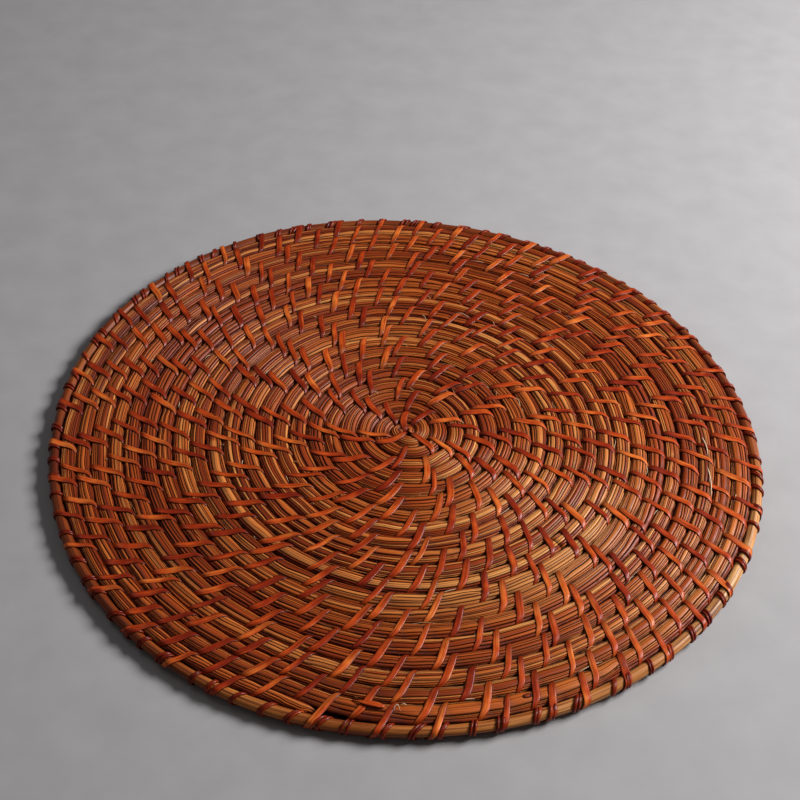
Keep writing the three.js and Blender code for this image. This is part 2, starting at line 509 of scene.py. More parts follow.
def tube_mesh(name, rings, along, across, layers, ring_closed=False, girth=None):
    """One mesh of many tubes. rings is (tubes, steps, sides, 3) in millimetres. along is (tubes,
    steps), with one more step where the tubes close on themselves, and across is (sides + 1).
    girth stretches across at each step. layers holds a number for each point, by name."""
    tubes, steps, sides, _ = rings.shape
    spans = steps if ring_closed else steps - 1
    first = np.arange(tubes)[:, None, None] * steps * sides
    here = np.arange(spans)[None, :, None] * sides
    there = ((np.arange(spans) + 1) % steps)[None, :, None] * sides
    k = np.arange(sides)[None, None, :]
    after = (k + 1) % sides
    quads = np.stack(
        [first + here + k, first + here + after, first + there + after, first + there + k], -1
    )
    u0, u1 = along[:, :spans, None], along[:, 1 : spans + 1, None]
    v0, v1 = across[None, None, :-1], across[None, None, 1:]
    girth = np.ones(along.shape) if girth is None else girth
    g0, g1 = girth[:, :spans, None], girth[:, 1 : spans + 1, None]
    corners = ((u0, v0 * g0), (u0, v1 * g0), (u1, v1 * g1), (u1, v0 * g1))
    uv = np.stack([np.stack(np.broadcast_arrays(u, v), -1) for u, v in corners], -2)
    corner = quads.reshape(-1)
    uv = uv.reshape(-1, 2)
    sizes = np.full(len(corner) // 4, 4)
    if not ring_closed:
        around_end = np.arange(sides)
        last = (steps - 1) * sides
        caps = np.concatenate([first[:, 0] + around_end[::-1], first[:, 0] + last + around_end])
        corner = np.concatenate([corner, caps.reshape(-1)])
        cap_u = np.concatenate([along[:, 0], along[:, -1]])
        cap_uv = np.stack([np.repeat(cap_u, sides), np.tile(across[:-1], len(caps))], -1)
        uv = np.concatenate([uv, cap_uv])
        sizes = np.concatenate([sizes, np.full(len(caps), sides)])
    points = rings.reshape(-1, 3) * MM
    mesh = bpy.data.meshes.new(name)
    mesh.vertices.add(len(points))
    mesh.vertices.foreach_set("co", points.ravel())
    mesh.loops.add(len(corner))
    mesh.loops.foreach_set("vertex_index", corner)
    mesh.polygons.add(len(sizes))
    mesh.polygons.foreach_set("loop_start", np.concatenate([[0], np.cumsum(sizes)[:-1]]))
    mesh.polygons.foreach_set("use_smooth", np.ones(len(sizes), bool))
    mesh.uv_layers.new(name="grain").data.foreach_set("uv", uv.ravel())
    for layer, values in layers.items():
        full = np.broadcast_to(values, rings.shape[:3]).ravel()
        mesh.attributes.new(layer, "FLOAT", "POINT").data.foreach_set("value", full)
    mesh.update(calc_edges=True)
    mesh.validate()
    if signed_volume(rings[0], ring_closed) < 0:
        mesh.flip_normals()
    return mesh


def signed_volume(tube, ring_closed):
    """A number with the sign of one tube's volume, which says whether its faces point out."""
    here, there = (tube, np.roll(tube, -1, 0)) if ring_closed else (tube[:-1], tube[1:])
    middle = tube.mean((0, 1))
    a, b = here - middle, np.roll(here, -1, 1) - middle
    c, d = np.roll(there, -1, 1) - middle, there - middle
    return (np.cross(a, b) * c).sum() + (np.cross(a, c) * d).sum()


def piece(name, mesh, material, replaced=None):
    found = bpy.data.objects.new(name, mesh)
    bpy.context.scene.collection.objects.link(found)
    mesh.materials.append(material)
    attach(found, "root")
    if replaced:
        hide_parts(replaced)
    return found


# Where the sewing goes


def usual_reach(turns):
    """How far a stitch runs round the mat on its way in. It leans less near the centre."""
    radius = member_at(turns)[0]
    leaning = STITCH_REACH + REACH_CHANGE * np.cos(azimuth_at(turns) - REACH_AZIMUTH)
    return leaning * np.clip(radius / FULL_REACH_RADIUS, LEAST_REACH, 1)


def sew(rng):
    """The turns at which stitches start, from the centre out, as the mat is sewn. Each one is
    drawn towards the middle between two stitches of the turn before it, clear of both."""
    found = [COIL_TURNS - UNSEWN_TURNS]
    while found[-1] > REED_STITCH_TURNS - 1:
        radius = max(float(member_at(found[-1])[0]), LEAST_SEWN_RADIUS)
        turn_length = TURN * radius
        step = STITCH_PITCH * rng.uniform(*PITCH_RANGE) / turn_length
        wanted = found[-1] - step
        lead = MEETING_SHARE * float(usual_reach(wanted)) / turn_length
        below = np.array(found) - 1 + lead
        near = below[np.abs(below - wanted) < NEAR_PITCHES * step]
        lower, upper = near[near <= wanted], near[near > wanted]
        clear = STITCH_CLEARANCE / turn_length
        if len(lower) and len(upper):
            low, high = lower.max(), upper.min()
            pull = SPACE_PULL if high - low < SPACE_LIMIT * step else 0
            wanted += pull * ((low + high) / 2 - wanted)
            clear = min(clear, CLEARANCE_SHARE * (high - low))
            wanted = min(max(wanted, low + clear), high - clear)
        elif len(lower):
            wanted = max(wanted, lower.max() + clear)
        elif len(upper):
            wanted = min(wanted, upper.min() - clear)
        wanted = min(wanted, found[-1] - LEAST_PITCH * step)
        found.append(wanted)
    return np.array(found[:-1])


def outer_member(turns):
    """What a stitch starts from. Beside the bundle's thin tip it starts from the edge reed."""
    return member_at(np.where(turns < REED_STITCH_TURNS, -1, turns))


def band_path(turns, under=False):
    """The line of each stitch across two members, over or under them. Returns radius, height, the
    normal's two parts, the share of the way and the way in millimetres, each (stitches, steps)."""
    outer, outer_half, outer_z, outer_rise = (v[:, None] for v in outer_member(turns))
    inner, inner_half, inner_z, inner_rise = (v[:, None] for v in member_at(turns + 1))
    reed = (turns < REED_STITCH_TURNS)[:, None]
    sign = -1 if under else 1
    climb = (inner_z + sign * inner_rise - outer_z - sign * outer_rise) * sign / 2
    start = np.where(reed, UNDER_REED_ANGLE if under else REED_START_ANGLE, START_ANGLE)
    share = np.linspace(0, 1, UNDER_BAND_STEPS if under else TOP_BAND_STEPS)[None, :]
    leave = LEAVE_ANGLE + LEAVE_CHANGE * np.clip(-climb, 0, 1)
    angle = np.radians(start + (leave - start) * share)
    ox, oz, onx, onz = section_point(angle, outer_half, outer_rise)
    meet = MEET_ANGLE - MEET_CHANGE * np.clip(climb, 0, 1)
    angle = np.radians(meet + (END_ANGLE - meet) * share)
    ix, iz, inx, inz = section_point(angle, inner_half, inner_rise)
    bridge = np.array(BRIDGE_SHARES)[None, :]
    left, right = outer + ox[:, -1:], inner + ix[:, :1]
    left_z, right_z = outer_z + sign * oz[:, -1:], inner_z + sign * iz[:, :1]
    bridge_r = left + (right - left) * bridge
    dip = BRIDGE_DIP * np.sin(math.pi * bridge)
    bridge_z = left_z + (right_z - left_z) * bridge - sign * dip
    radius = np.concatenate([outer + ox, bridge_r, inner + ix], 1)
    height = np.concatenate([outer_z + sign * oz, bridge_z, inner_z + sign * iz], 1)
    run = np.hypot(np.diff(radius, axis=1), np.diff(height, axis=1))
    way = np.concatenate([np.zeros((len(turns), 1)), np.cumsum(run, 1)], 1)
    flat = np.zeros((len(turns), len(BRIDGE_SHARES)))
    normal_r = np.concatenate([onx, flat, inx], 1)
    normal_z = sign * np.concatenate([onz, flat + 1, inz], 1)
    return radius, height, normal_r, normal_z, way / way[:, -1:], way


def ribbon(line, normal, half, thickness, lift, profile):
    """Rings of a flat section along lines, with its face turned along the normals."""
    along = np.gradient(line, axis=1)
    side = unit(np.cross(normal, along))
    normal = unit(np.cross(along, side))
    across = side[:, :, None] * (half[..., None] * profile[:, 0])[..., None]
    up = normal[:, :, None] * (lift + thickness * profile[:, 1])[None, None, :, None]
    return line[:, :, None] + across + up


def bands(turns, reach_from, reach_to, width, thickness, lift, profile, bow, under=False):
    """Rings of flat bands laid over two members, for each stitch, with their shares of the way.
    A band leans more at its inner end, the more so the higher its bow. It hooks at both ends, but
    on the mat's right hardly at the inner one."""
    radius, height, normal_r, normal_z, share, way = band_path(turns, under)
    centre = outer_member(turns)[0][:, None]
    bowed = share ** bow[:, None]
    leftness = HOOK_MEAN - HOOK_CHANGE * np.cos(azimuth_at(turns))[:, None]
    reed = (turns < REED_STITCH_TURNS)[:, None]
    inner_hook = INNER_HOOK * leftness * smooth(share, HOOK_FROM, 1)
    outer_hook = np.where(reed, REED_HOOK, 1) * OUTER_HOOK * smooth(1 - share, HOOK_FROM, 1)
    hook = (inner_hook - outer_hook) * np.clip(centre / FULL_REACH_RADIUS, 0, 1)
    offset = reach_from[:, None] + (reach_to - reach_from)[:, None] * bowed + hook
    azimuth = azimuth_at(turns)[:, None] + offset / np.maximum(centre - ROW_PITCH, LEAST_RADIUS)
    radial = np.stack([np.cos(azimuth), np.sin(azimuth), 0 * azimuth], -1)
    normal = radial * normal_r[..., None]
    normal[..., 2] = normal_z
    taper = fade_in(np.where(reed, REED_POINT, START_POINT), smooth(share, 0, START_NARROWING))
    taper = taper * fade_in(END_POINT, smooth(1 - share, 0, END_NARROWING))
    half = 0.5 * width[:, None] * taper
    rings = ribbon(place(radius, azimuth, height), normal, half, thickness, lift, profile)
    return rings, share, way


def crossings(turns, reach):
    """Where stitches cross the crests of the bundle, as lengths along it, sorted."""
    radius = np.maximum(member_at(turns)[0] - ROW_PITCH / 2, LEAST_RADIUS)
    on_outer = turns - reach * OUTER_CROSSING / (TURN * radius)
    on_inner = turns + 1 - reach * INNER_CROSSING / (TURN * radius)
    both = np.concatenate([on_outer[turns > 0], on_inner])
    return np.sort(length_at(np.clip(both, TIP_TURN, COIL_TURNS)))


def pinch_at(length, crossing, across):
    """1 under a stitch and 0 away from one, at a distance across the bundle."""
    at = length + PINCH_LEAN * across
    after = np.clip(np.searchsorted(crossing, at), 1, len(crossing) - 1)
    gap = np.minimum(np.abs(at - crossing[after - 1]), np.abs(at - crossing[after]))
    return np.exp(-((gap / PINCH_REACH) ** 2))


# The strands of the bundle


def bundle_steps(step):
    """Turns at even steps along the bundle, closer where it curls tightly."""
    turns = [TIP_TURN]
    while turns[-1] < COIL_TURNS:
        radius = float(member_at(turns[-1])[0])
        length = min(step, TIGHT_SHARE * radius + TIGHT_STEP)
        turns.append(turns[-1] + length / (TURN * max(radius, 1)))
    turns[-1] = COIL_TURNS
    return np.array(turns)


def strand_breaks(rng, end):
    """Lengths at which one strand ends and the next one starts."""
    found = [rng.uniform(0, STRAND_LENGTHS[1])]
    while found[-1] < end:
        found.append(found[-1] + rng.uniform(*STRAND_LENGTHS))
    return np.array(found)


def lane_widths(rng, turns, length, half, lanes):
    """How the lanes share the bundle's width at each step. Strands end here and there. A slim one
    thins out there and its neighbours close in. Fewer lanes are left where the bundle thins out.
    Also returns each strand's number, how near its end is, from 0 to 1, and the shares that the
    lanes have away from ends."""
    wavy = [waves(rng, length, WIDTH_WAVE) for _ in range(lanes)]
    wide = np.exp(STRAND_SPREAD * np.stack(wavy, 1))
    wide[:, lanes // 2] += FLAT_REED_SHARE * flat_reed_at(turns)
    even = wide / wide.sum(1, keepdims=True)
    slim = 1 - smooth(even * lanes, *SLIM_RANGE)
    full = np.clip(half / (ROW_PITCH / 2), 0, 1)
    whole = smooth(full * lanes - rng.permutation(lanes)[None, :], *LANE_FADE)
    which, ends = [], []
    for lane in range(lanes):
        breaks = strand_breaks(rng, length[-1])
        near = np.abs(length[:, None] - breaks[None, :]).min(1)
        whole[:, lane] *= 1 - THIN_SHARE * slim[:, lane] * (1 - smooth(near, 0, THIN_LENGTH))
        ends.append(1 - smooth(near, 0, DIP_LENGTH))
        which.append(np.searchsorted(breaks, length))
    edges = np.cumsum(wide * whole, 1)
    edges = np.concatenate([np.zeros((len(turns), 1)), edges], 1)
    return edges / edges[:, -1:], np.stack(which, 1), np.stack(ends, 1), even


def flat_reed_at(turns):
    """1 where one strand of the outermost turn is a broad flat reed, and 0 elsewhere."""
    return smooth(turns, *FLAT_REED_START) * (1 - smooth(turns, *FLAT_REED_END))


def strands(rng, crossing, lanes, arc, step):
    """Rings of split strands side by side round part of the bundle, their lengths, and what their
    material reads: a tone for each strand, shade where a point lies low between bundles or under
    a stitch, and how wide the strand's grain is laid."""
    turns = bundle_steps(step)
    length = length_at(turns)
    radius, half, middle, rise = (v[:, None] for v in member_at(turns))
    edges, which, ends, even = lane_widths(rng, turns, length, half, lanes)
    edges = arc[0] + (arc[1] - arc[0]) * edges
    rings, tones, shades, girths = [], [], [], []
    for lane in range(lanes):
        tone = rng.random(which.max() + 1)[which[:, lane]]
        # Painted light: strands are paler on the side that the window lights
        tone = tone + PAINTED_LIGHT_ON_STRANDS * painted_light(azimuth_at(turns))
        if lane == lanes // 2:
            tone = tone + flat_reed_at(turns) * (FLAT_REED_TONE - tone)
        step_up = LIFT_STEP * (rng.random(which.max() + 1)[which[:, lane]] - 0.5)
        lift = LIFT_SIZE * waves(rng, length, LIFT_WAVE) + step_up - END_DIP * ends[:, lane]
        centre = (edges[:, lane] + edges[:, lane + 1]) / 2
        spread = (edges[:, lane + 1] - edges[:, lane]) / 2
        angle = np.radians(centre[:, None] + spread[:, None] * STRAND_PROFILE[None, :, 0])
        crown = np.minimum(STRAND_CROWN, CROWN_PER_DEGREE * spread)[:, None]
        out = crown * STRAND_PROFILE[None, :, 1] + lift[:, None]
        x, z, _, _ = section_point(angle, half, rise)
        pinch = pinch_at(length[:, None], crossing, x)
        out = out - PINCH_DEPTH * (pinch - PINCH_REST) * (np.sin(angle) > PINCH_SIDE)
        x, z, _, _ = section_point(angle, half - STRAND_INSET, rise, out)
        rings.append(place(radius + x, azimuth_at(turns)[:, None], middle + z))
        tones.append(np.broadcast_to(tone[:, None], angle.shape))
        # Painted shade: darkest where a point lies low between bundles, and darker under stitches
        low = 1 - smooth(np.abs(z), *SHADE_HEIGHTS)
        shades.append(np.clip(low + PINCH_SHADE * pinch, 0, 1))
        girths.append(np.radians(arc[1] - arc[0]) * even[:, lane] * ROW_PITCH / 4)
    along = np.broadcast_to(length, (lanes, len(turns))) * MM
    return [np.stack(rings), along, np.stack(tones), np.stack(shades), np.stack(girths)]


def cut(arrays, pieces):
    """The strands in stretches of the spiral, so that each piece stays light."""
    marks = np.linspace(0, arrays[0].shape[1] - 1, pieces + 1).astype(int)
    for low, high in zip(marks[:-1], marks[1:]):
        yield [a[:, low : high + 1] for a in arrays]


def add_strands(rng, crossing, material):
    found = []
    across = np.append(STRAND_PROFILE[:, 0], 1 + STRAND_GAP) * MM
    for name, (lanes, arc, step, pieces) in STRANDS.items():
        arrays = strands(rng, crossing, lanes, arc, step)
        for i, (rings, along, tone, painted_shade_and_knot_rim, girth) in enumerate(cut(arrays, pieces)):
            along = along + np.arange(lanes)[:, None] * LANE_SHIFT
            layers = {"tone": tone, "painted_shade_and_knot_rim": painted_shade_and_knot_rim, "edge": STRAND_EDGE}
            mesh = tube_mesh(f"{name}_{i + 1}", rings, along, across, layers, girth=girth)
            found.append(piece(mesh.name, mesh, material))
    return found


def add_core(material):
    """The bundle under its strands, a plain coil whose colour is painted shade."""
    turns = bundle_steps(CORE_STEP)
    radius, half, middle, rise = (v[:, None] for v in member_at(turns))
    angle = np.radians(np.arange(0, 360, CORE_DEGREES))[None, :]
    x, z, _, _ = section_point(angle, half - CORE_INSET, rise, -CORE_DEPTH)
    rings = place(radius + x, azimuth_at(turns)[:, None], middle + z)[None]
    along = (length_at(turns) * MM)[None]
    across = around(angle.size, CORE_GIRTH)
    layers = {"tone": 0.3, "painted_shade_and_knot_rim": 0.9, "edge": 0.0}
    mesh = tube_mesh("coil_core", rings, along, across, layers)
    return piece("coil_core", mesh, material, "coil_bundle")


def add_stitches(rng, turns, reach, material):
    azimuth = azimuth_at(turns)
    # Painted light: stitches are paler on the side that the window lights
    tone = rng.random(len(turns)) + PAINTED_LIGHT_ON_STITCHES * painted_light(azimuth)
    width = STITCH_WIDTH * rng.uniform(*STITCH_WIDTHS, len(turns))
    none = np.zeros(len(turns))
    bow = BOW - BOW_CHANGE * np.cos(azimuth) + rng.normal(0, BOW_SPREAD, len(turns))
    rings, share, way = bands(
        turns, none, reach, width, STITCH_THICKNESS, STITCH_LIFT, STITCH_PROFILE, bow
    )
    across = around(len(STITCH_PROFILE), STITCH_GIRTH)
    layers = {"tone": tone[:, None, None], "way": share[:, :, None], "edge": STITCH_EDGE}
    along = way * MM + STRIP_SHIFT * np.arange(len(turns))[:, None]
    found = []
    halves = np.array_split(np.arange(len(turns)), 2)
    for i, chosen in enumerate(halves):
        picked = {name: np.broadcast_to(v, rings.shape[:3])[chosen] for name, v in layers.items()}
        mesh = tube_mesh(f"stitches_top_{i + 1}", rings[chosen], along[chosen], across, picked)
        found.append(piece(mesh.name, mesh, material))
    pitch = np.append(-np.diff(turns), 0)[:, None] * TURN * member_at(turns)[0][:, None]
    pitch = np.where(pitch > 0, pitch, STITCH_PITCH)[:, 0]
    width = width * UNDER_WIDTH
    straight = none + 1
    rings, share, way = bands(
        turns, pitch, reach, width, UNDER_THICKNESS, UNDER_LIFT, UNDER_PROFILE, straight, True
    )
    across = around(len(UNDER_PROFILE), UNDER_GIRTH)
    layers = {"tone": tone[:, None, None], "way": share[:, :, None], "edge": 0.0}
    mesh = tube_mesh("stitches_under", rings, way * MM, across, layers)
    found.append(piece("stitches_under", mesh, material))
    return found


# Loose ends


def curve_through(points, steps):
    """A smooth line through a few points."""
    p = np.array(points, float)
    p = np.concatenate([[2 * p[0] - p[1]], p, [2 * p[-1] - p[-2]]])
    at = np.linspace(0, len(p) - 3 - TINY, steps)
    k = at.astype(int)
    t = (at - k)[:, None]
    a, b, c, d = p[k], p[k + 1], p[k + 2], p[k + 3]
    cubic = (c - a) * t + (2 * a - 5 * b + 4 * c - d) * t**2 + (3 * b - a - 3 * c + d) * t**3
    return b + cubic / 2


def crevice_fibres(rng):
    """Fine fibres that lie along the crevices between turns, and short ones that curl out."""
    found = []
    for count, lengths, heights in (LYING_FIBRES, CURLED_FIBRES):
        for _ in range(count):
            turns = rng.uniform(*FIBRE_TURNS)
            radius = float(row_line(turns))
            azimuth = math.degrees(float(azimuth_at(turns)))
            long = math.degrees(rng.uniform(*lengths) / radius)
            points = []
            for share, height in zip(FIBRE_SHARES, heights):
                aside = rng.uniform(-FIBRE_ASIDE, FIBRE_ASIDE)
                points.append((azimuth + long * share, radius + aside, height))
            found.append((rng.uniform(*FIBRE_HALVES), rng.uniform(*FIBRE_TONES), points))
    return found


def add_fibres(rng, material):
    fibres = list(SEEN_FIBRES) + crevice_fibres(rng)
    angle = (np.arange(FIBRE_SIDES) * TURN / FIBRE_SIDES)[None, :, None]
    share = np.linspace(0, 1, FIBRE_STEPS)
    at_root, at_tip = FIBRE_NARROWING
    taper = fade_in(FIBRE_POINT, smooth(share, 0, at_root) * smooth(1 - share, 0, at_tip))
    rings, tones = [], []
    for half, tone, points in fibres:
        azimuth, radius, height = curve_through(points, FIBRE_STEPS).T
        line = place(radius, np.radians(azimuth), height)
        ahead = unit(np.gradient(line, axis=0))
        side = unit(np.cross(ahead, ALMOST_UP))
        up = np.cross(side, ahead)
        out = side[:, None] * np.cos(angle) + up[:, None] * np.sin(angle)
        rings.append(line[:, None] + out * (half * taper)[:, None, None])
        tones.append(tone)
    tones = np.array(tones)[:, None, None]
    along = np.broadcast_to(share * FIBRE_GRAIN, (len(fibres), FIBRE_STEPS))
    across = around(FIBRE_SIDES, 1)
    mesh = tube_mesh("loose_fibres", np.stack(rings), along, across, {"tone": tones})
    return piece("loose_fibres", mesh, material)


def add_strip_tail(material):
    """The end of one sewing strip, left lying along the outermost turn, cut to a point."""
    azimuth, radius, height = curve_through(TAIL_POINTS, TAIL_STEPS).T
    line = place(radius, np.radians(azimuth), height)[None]
    share = np.linspace(0, 1, TAIL_STEPS)[None]
    normal = np.broadcast_to((0.0, 0.0, 1.0), line.shape)
    pointed = fade_in(TAIL_POINT, smooth(share, 0, TAIL_POINT_LENGTH))
    cut_off = fade_in(END_POINT, smooth(1 - share, 0, TAIL_CUT_LENGTH))
    half = 0.5 * TAIL_WIDTH * pointed * cut_off
    rings = ribbon(line, normal, half, STITCH_THICKNESS, TAIL_LIFT, STITCH_PROFILE)
    across = around(len(STITCH_PROFILE), STITCH_GIRTH)
    layers = {"tone": 0.75, "way": 0.5, "edge": STITCH_EDGE}
    mesh = tube_mesh("strip_tail", rings, share * TAIL_LENGTH * MM, across, layers)
    return piece("strip_tail", mesh, material)


def add_knot(material):
    """A small knot standing out of the broad flat reed, with a dark rim."""
    share = np.linspace(-KNOT_END, KNOT_END, KNOT_STEPS)
    size = np.sqrt(1 - share**2)
    angle = -np.arange(KNOT_SIDES) * TURN / KNOT_SIDES
    across = size[:, None] * np.cos(angle)
    azimuth = KNOT_AZIMUTH + share[:, None] * KNOT_LENGTH / 2 / KNOT_RADIUS
    height = KNOT_HEIGHT + KNOT_RISE * size[:, None] * np.sin(angle)
    rings = place(KNOT_RADIUS + KNOT_WIDTH / 2 * across, azimuth, height)[None]
    rim = smooth(np.hypot(share[:, None], across), *KNOT_RIM)
    layers = {"tone": 0.35, "painted_shade_and_knot_rim": 0.95 * rim, "edge": 0.0}
    along = (share * KNOT_GRAIN * MM)[None]
    mesh = tube_mesh("reed_knot", rings, along, around(KNOT_SIDES, KNOT_GIRTH), layers)
    return piece("reed_knot", mesh, material)


# The edge


def add_edge_reed(material):
    azimuth = np.arange(REED_STEPS) * TURN / REED_STEPS
    angle = (np.arange(REED_SIDES) * TURN / REED_SIDES)[None, :]
    length = azimuth * REED_RING_RADIUS
    radius = REED_RADIUS
    for across_count, round_count, size, phase in REED_WAVES:
        turned = across_count * angle + round_count * azimuth[:, None] + phase
        radius = radius + size * np.sin(turned)
    x, z = radius * np.cos(angle), (radius - REED_FLATNESS) * np.sin(angle)
    rings = place(REED_RING_RADIUS + x, azimuth[:, None], REED_HEIGHT + z)[None]
    along = np.append(length, TURN * REED_RING_RADIUS)[None] * MM
    across = around(REED_SIDES, REED_GIRTH)
    # The reed's tone is all painted light, paler on the side that the window lights
    layers = {"tone": painted_light(azimuth)[None, :, None]}
    mesh = tube_mesh("edge_reed_round", rings, along, across, layers, True)
    return piece("edge_reed_round", mesh, material, "edge_reed")


def add_wraps(rng, material):
    """Thin strips in pairs round the edge reed, each one a leaning loop."""
    shift = rng.uniform(-WRAP_SHIFT, WRAP_SHIFT, WRAP_COUNT)
    middle = (np.arange(WRAP_COUNT) + shift) * TURN / WRAP_COUNT
    apart = rng.uniform(*WRAP_PAIR_GAPS, WRAP_COUNT) / REED_RING_RADIUS
    start = np.concatenate([middle - apart / 2, middle + apart / 2])
    lean = rng.uniform(*WRAP_LEANS, WRAP_COUNT)
    second_lean = lean + rng.uniform(-WRAP_LEAN_SPREAD, WRAP_LEAN_SPREAD, WRAP_COUNT)
    lean = np.concatenate([lean, second_lean])[:, None]
    angle = (np.arange(WRAP_STEPS) * TURN / WRAP_STEPS)[None, :]
    azimuth = start[:, None] - lean * np.cos(angle) / REED_RING_RADIUS
    reach = REED_RADIUS + WRAP_CLEARANCE
    radius = REED_RING_RADIUS + reach * np.cos(angle)
    height = REED_HEIGHT + (reach - WRAP_FLATNESS) * np.sin(angle)
    line = place(radius, azimuth, height)
    outward = (np.cos(azimuth) * np.cos(angle), np.sin(azimuth) * np.cos(angle), np.sin(angle))
    normal = np.stack(np.broadcast_arrays(*outward), -1)
    side = unit(np.cross(normal, np.roll(line, -1, 1) - np.roll(line, 1, 1)))
    count = len(start)
    width = WRAP_WIDTH * rng.uniform(*WRAP_WIDTHS, count)[:, None, None, None] / 2
    across = side[:, :, None] * WRAP_PROFILE[None, None, :, :1] * width
    up = normal[:, :, None] * (WRAP_THICKNESS * WRAP_PROFILE[:, 1])[None, None, :, None]
    rings = line[:, :, None] + across + up
    run = np.arange(WRAP_STEPS + 1)[None, :] * TURN * reach / WRAP_STEPS * MM
    run = run + STRIP_SHIFT * np.arange(count)[:, None]
    tone = rng.uniform(-WRAP_TONE_SPREAD, WRAP_TONE_SPREAD, count)[:, None, None]
    # The edge value darkens each wrap evenly, as its own darker tone
    layers = {"tone": tone, "way": 0.5, "edge": 0.45}
    girth = around(len(WRAP_PROFILE), WRAP_GIRTH)
    mesh = tube_mesh("edge_wraps", rings, run, girth, layers, True)
    return piece("edge_wraps", mesh, material, "edge_strip")


# Materials


class Nodes:
    """A material's node tree, built with short calls."""

    def __init__(self, name):
        self.material = bpy.data.materials.new(name)
        self.material.use_nodes = True
        self.tree = self.material.node_tree
        self.shader = self.tree.nodes["Principled BSDF"]

    def add(self, kind, links=(), **values):
        node = self.tree.nodes.new(kind)
        for name, value in values.items():
            setattr(node, name, value)
        for socket, source in links:
            if hasattr(source, "links"):
                self.tree.links.new(source, node.inputs[socket])
            else:
                node.inputs[socket].default_value = source
        return node

    def layer(self, name):
        return self.add("ShaderNodeAttribute", attribute_name=name).outputs["Fac"]

    def math(self, operation, a, b=0.0):
        return self.add("ShaderNodeMath", [(0, a), (1, b)], operation=operation).outputs[0]

    def weighted(self, a, share_a, b, share_b):
        """The sum of two values, each one times its share."""
        return self.math("ADD", self.math("MULTIPLY", a, share_a), self.math("MULTIPLY", b, share_b))

    def mix(self, factor, a, b):
        a, b = (c if hasattr(c, "links") else (*c, 1) for c in (a, b))
        links = [("Factor", factor), (6, a), (7, b)]
        return self.add("ShaderNodeMix", links, data_type="RGBA").outputs[2]

    def ramp(self, factor, stops):
        node = self.add("ShaderNodeValToRGB", [("Fac", factor)])
        while len(node.color_ramp.elements) < len(stops):
            node.color_ramp.elements.new(0.5)
        for element, (position, colour) in zip(node.color_ramp.elements, stops):
            element.position = position
            element.color = (*colour, 1)
        return node.outputs["Color"]

    def span(self, value, low, high, to_low=0.0, to_high=1.0):
        """A value's stretch from low to high, made to run from to_low to to_high."""
        links = [(0, value), (1, low), (2, high), (3, to_low), (4, to_high)]
        return self.add("ShaderNodeMapRange", links).outputs[0]

    def grain(self, stretch, scale, detail=4.0):
        """Noise whose blots are as many times longer than wide as stretch says."""
        uv = self.add("ShaderNodeUVMap", uv_map="grain").outputs[0]
        mapped = self.add("ShaderNodeMapping", [("Vector", uv), ("Scale", (1 / stretch, 1, 1))])
        links = [("Vector", mapped.outputs[0]), ("Scale", scale), ("Detail", detail)]
        return self.add("ShaderNodeTexNoise", links).outputs["Fac"]

    def finish(self, colour, roughness, height, depth, gloss, coat=0.0):
        """Joins everything to the shader. The height becomes bumps of a depth in metres."""
        links = [("Height", height), ("Distance", depth), ("Strength", 1.0)]
        bump = self.add("ShaderNodeBump", links)
        self.tree.links.new(colour, self.shader.inputs["Base Color"])
        self.tree.links.new(roughness, self.shader.inputs["Roughness"])
        self.tree.links.new(bump.outputs[0], self.shader.inputs["Normal"])
        self.shader.inputs["Specular IOR Level"].default_value = gloss
        self.shader.inputs["Coat Weight"].default_value = coat
        self.shader.inputs["Coat Roughness"].default_value = COAT_ROUGHNESS
        return self.material


def strand_material():
    n = Nodes("split_rattan")
    tone, painted_shade_and_knot_rim, edge = n.layer("tone"), n.layer("painted_shade_and_knot_rim"), n.layer("edge")
    fine = n.grain(stretch=160, scale=3600)
    coarse = n.grain(stretch=200, scale=1500, detail=3.0)
    patch = n.grain(stretch=3, scale=22, detail=2.0)
    mixed = n.weighted(tone, 0.34, patch, 0.5)
    body = n.ramp(n.math("ADD", mixed, 0.03), STRAND_COLOURS)
    streaked = n.mix(n.span(fine, 0.6, 0.36, 0.0, 0.5), body, STRAND_STREAK)
    stained = n.mix(n.span(coarse, 0.5, 0.37, 0.0, 0.75), streaked, STRAND_STAIN)
    # Painted shade: dark lines at the strands' edges, in the gaps between them
    line = n.math("MULTIPLY", n.span(edge, 0.1, 0.7), n.span(patch, 0.62, 0.42, 0.6, 0.97))
    gap_shaded = n.mix(line, stained, STRAND_LINE_SHADE)
    # Painted shade towards near black, low between bundles, under stitches and over the core; the
    # knot darkens towards its rim on the same layer
    colour = n.mix(n.span(painted_shade_and_knot_rim, 0.1, 0.9), gap_shaded, CREVICE_SHADE_AND_KNOT_RIM)
    sheen = n.span(fine, 0.2, 0.8, 0.3, 0.5)
    roughness = n.math("MAXIMUM", sheen, n.span(painted_shade_and_knot_rim, 0.1, 0.6, 0.3, 1.0))
    height = n.weighted(fine, 0.5, coarse, 0.8)
    return n.finish(colour, roughness, height, depth=0.0002, gloss=0.26, coat=0.03)


